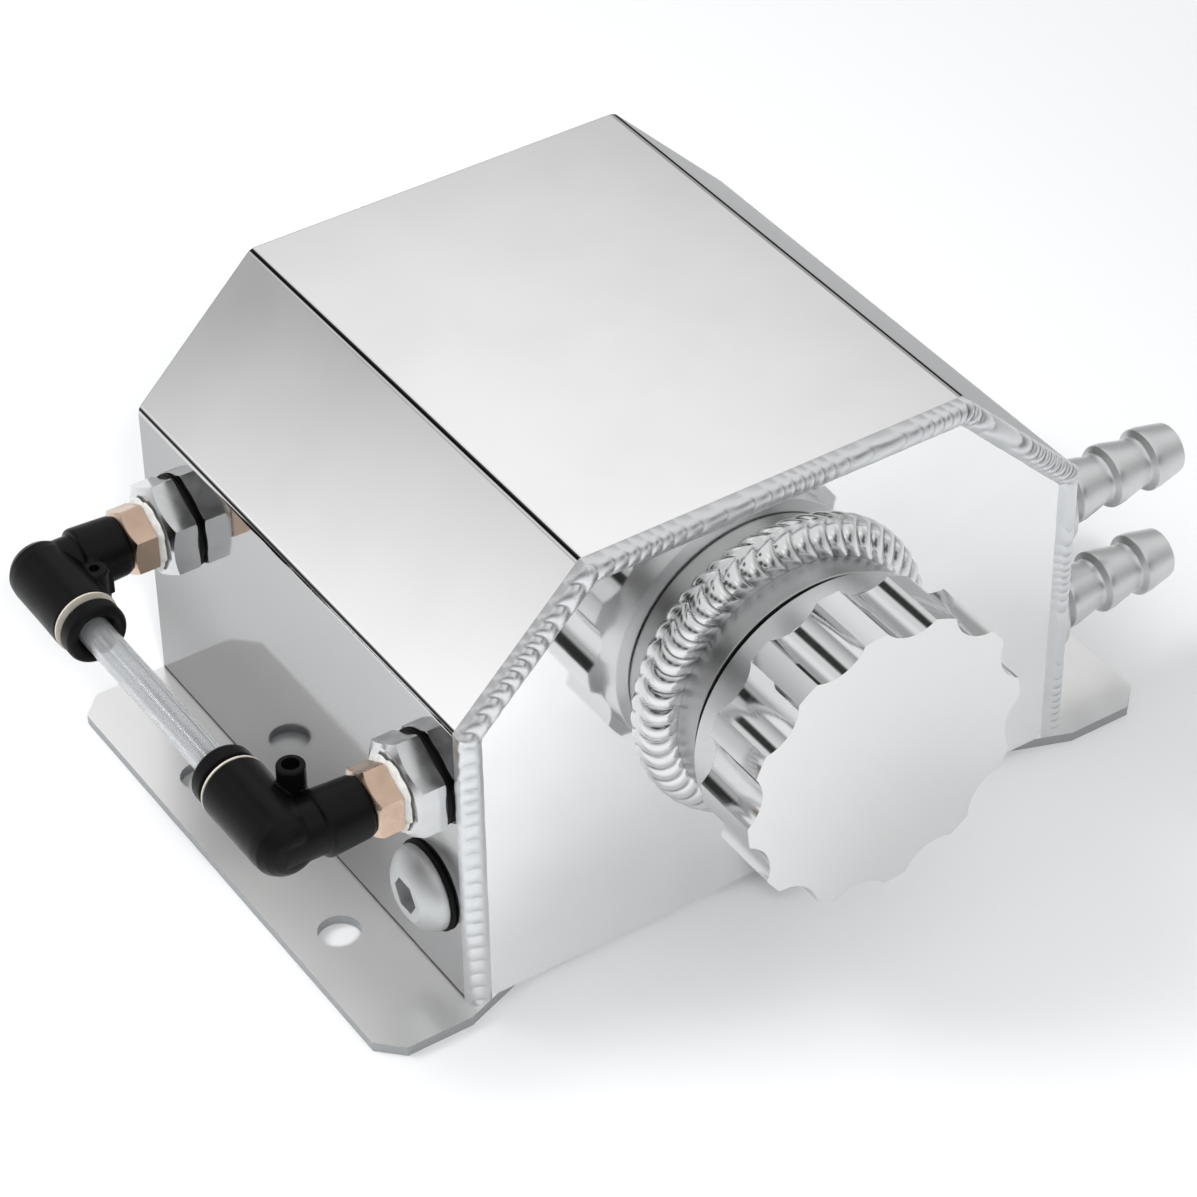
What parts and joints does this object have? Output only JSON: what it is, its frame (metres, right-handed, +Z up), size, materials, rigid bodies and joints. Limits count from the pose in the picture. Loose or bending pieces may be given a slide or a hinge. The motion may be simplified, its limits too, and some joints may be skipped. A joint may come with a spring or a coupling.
{
  "type": "oil catch can",
  "caption": "Folded and welded aluminium oil catch can on a mounting plate, with screw filler cap, sight tube, drain plug and hose tails.",
  "frame": {"origin": "on the underside of the mounting plate, at the centre of its hole pattern", "axes": "+Z up from the plate, +Y towards the plain end of the tank, -Y out of the filler neck, +X towards the hose tails"},
  "size_m": [0.1973, 0.1415, 0.0895],
  "materials": {
    "polished_sheet": "mirror polished",
    "weld_metal": "as welded, rippled",
    "turned_aluminium": "turned and polished",
    "raw_aluminium": "satin, as turned",
    "hex_aluminium": "satin, as turned",
    "brass": "satin, pinkish",
    "stainless": "spring steel",
    "rubber": "smooth",
    "black_moulding": "satin moulded",
    "pale_collar": "satin moulded",
    "sealant": "dry film",
    "clear_tube": "clear, smooth"
  },
  "bodies": {
    "root": {"mounting_plate": "polished_sheet", "body_wrapper": "polished_sheet", "front_end_plate": "polished_sheet", "rear_end_plate": "polished_sheet", "front_weld_bead": "weld_metal", "front_base_weld": "weld_metal", "rear_weld_bead": "weld_metal", "filler_neck": "turned_aluminium", "neck_weld_bead": "weld_metal", "sight_bung_front": "raw_aluminium", "sight_seal_front": "rubber", "hex_adaptor_front": "hex_aluminium", "thread_seal_front": "sealant", "elbow_stud_front": "brass", "elbow_body_front": "black_moulding", "tube_o_ring_front": "rubber", "grab_ring_front": "stainless", "guide_ring_front": "pale_collar", "sight_bung_rear": "raw_aluminium", "sight_seal_rear": "rubber", "hex_adaptor_rear": "hex_aluminium", "thread_seal_rear": "sealant", "elbow_stud_rear": "brass", "elbow_body_rear": "black_moulding", "tube_o_ring_rear": "rubber", "grab_ring_rear": "stainless", "guide_ring_rear": "pale_collar", "sight_tube": "clear_tube", "drain_bung": "raw_aluminium", "hose_tail_upper": "raw_aluminium", "hose_tail_weld_upper": "weld_metal", "hose_tail_lower": "raw_aluminium", "hose_tail_weld_lower": "weld_metal"},
    "cap_carrier": {"cap_gasket": "rubber"},
    "cap": {"filler_cap": "turned_aluminium"},
    "plug_carrier": {"drain_seal": "rubber"},
    "plug": {"drain_plug": "turned_aluminium"},
    "front_release": {"release_collar_front": "black_moulding"},
    "rear_release": {"release_collar_rear": "black_moulding"}
  },
  "joints": [
    {"name": "cap_lift", "type": "slide", "parent": "root", "child": "cap_carrier", "axis": [0, -1, 0], "range_m": [0, 0.009]},
    {"name": "cap_turn", "type": "hinge", "parent": "cap_carrier", "child": "cap", "pos_m": [0, -0.054, 0.049], "axis": [0, -1, 0], "range_deg": [0, 1620]},
    {"name": "plug_lift", "type": "slide", "parent": "root", "child": "plug_carrier", "axis": [-1, 0, 0], "range_m": [0, 0.009]},
    {"name": "plug_turn", "type": "hinge", "parent": "plug_carrier", "child": "plug", "pos_m": [-0.065, -0.0417, 0.0214], "axis": [-1, 0, 0], "range_deg": [0, 2160]},
    {"name": "front_release_push", "type": "slide", "parent": "root", "child": "front_release", "axis": [0, -1, 0], "range_m": [0, 0.001], "stiffness_N_per_m": 400},
    {"name": "rear_release_push", "type": "slide", "parent": "root", "child": "rear_release", "axis": [0, 1, 0], "range_m": [0, 0.001], "stiffness_N_per_m": 400}
  ],
  "couplings": [
    {"joint": "cap_lift", "follows": "cap_turn", "m_per_rad": 0.0003183},
    {"joint": "plug_turn", "follows": "plug_lift", "rad_per_m": 4188.8}
  ]
}
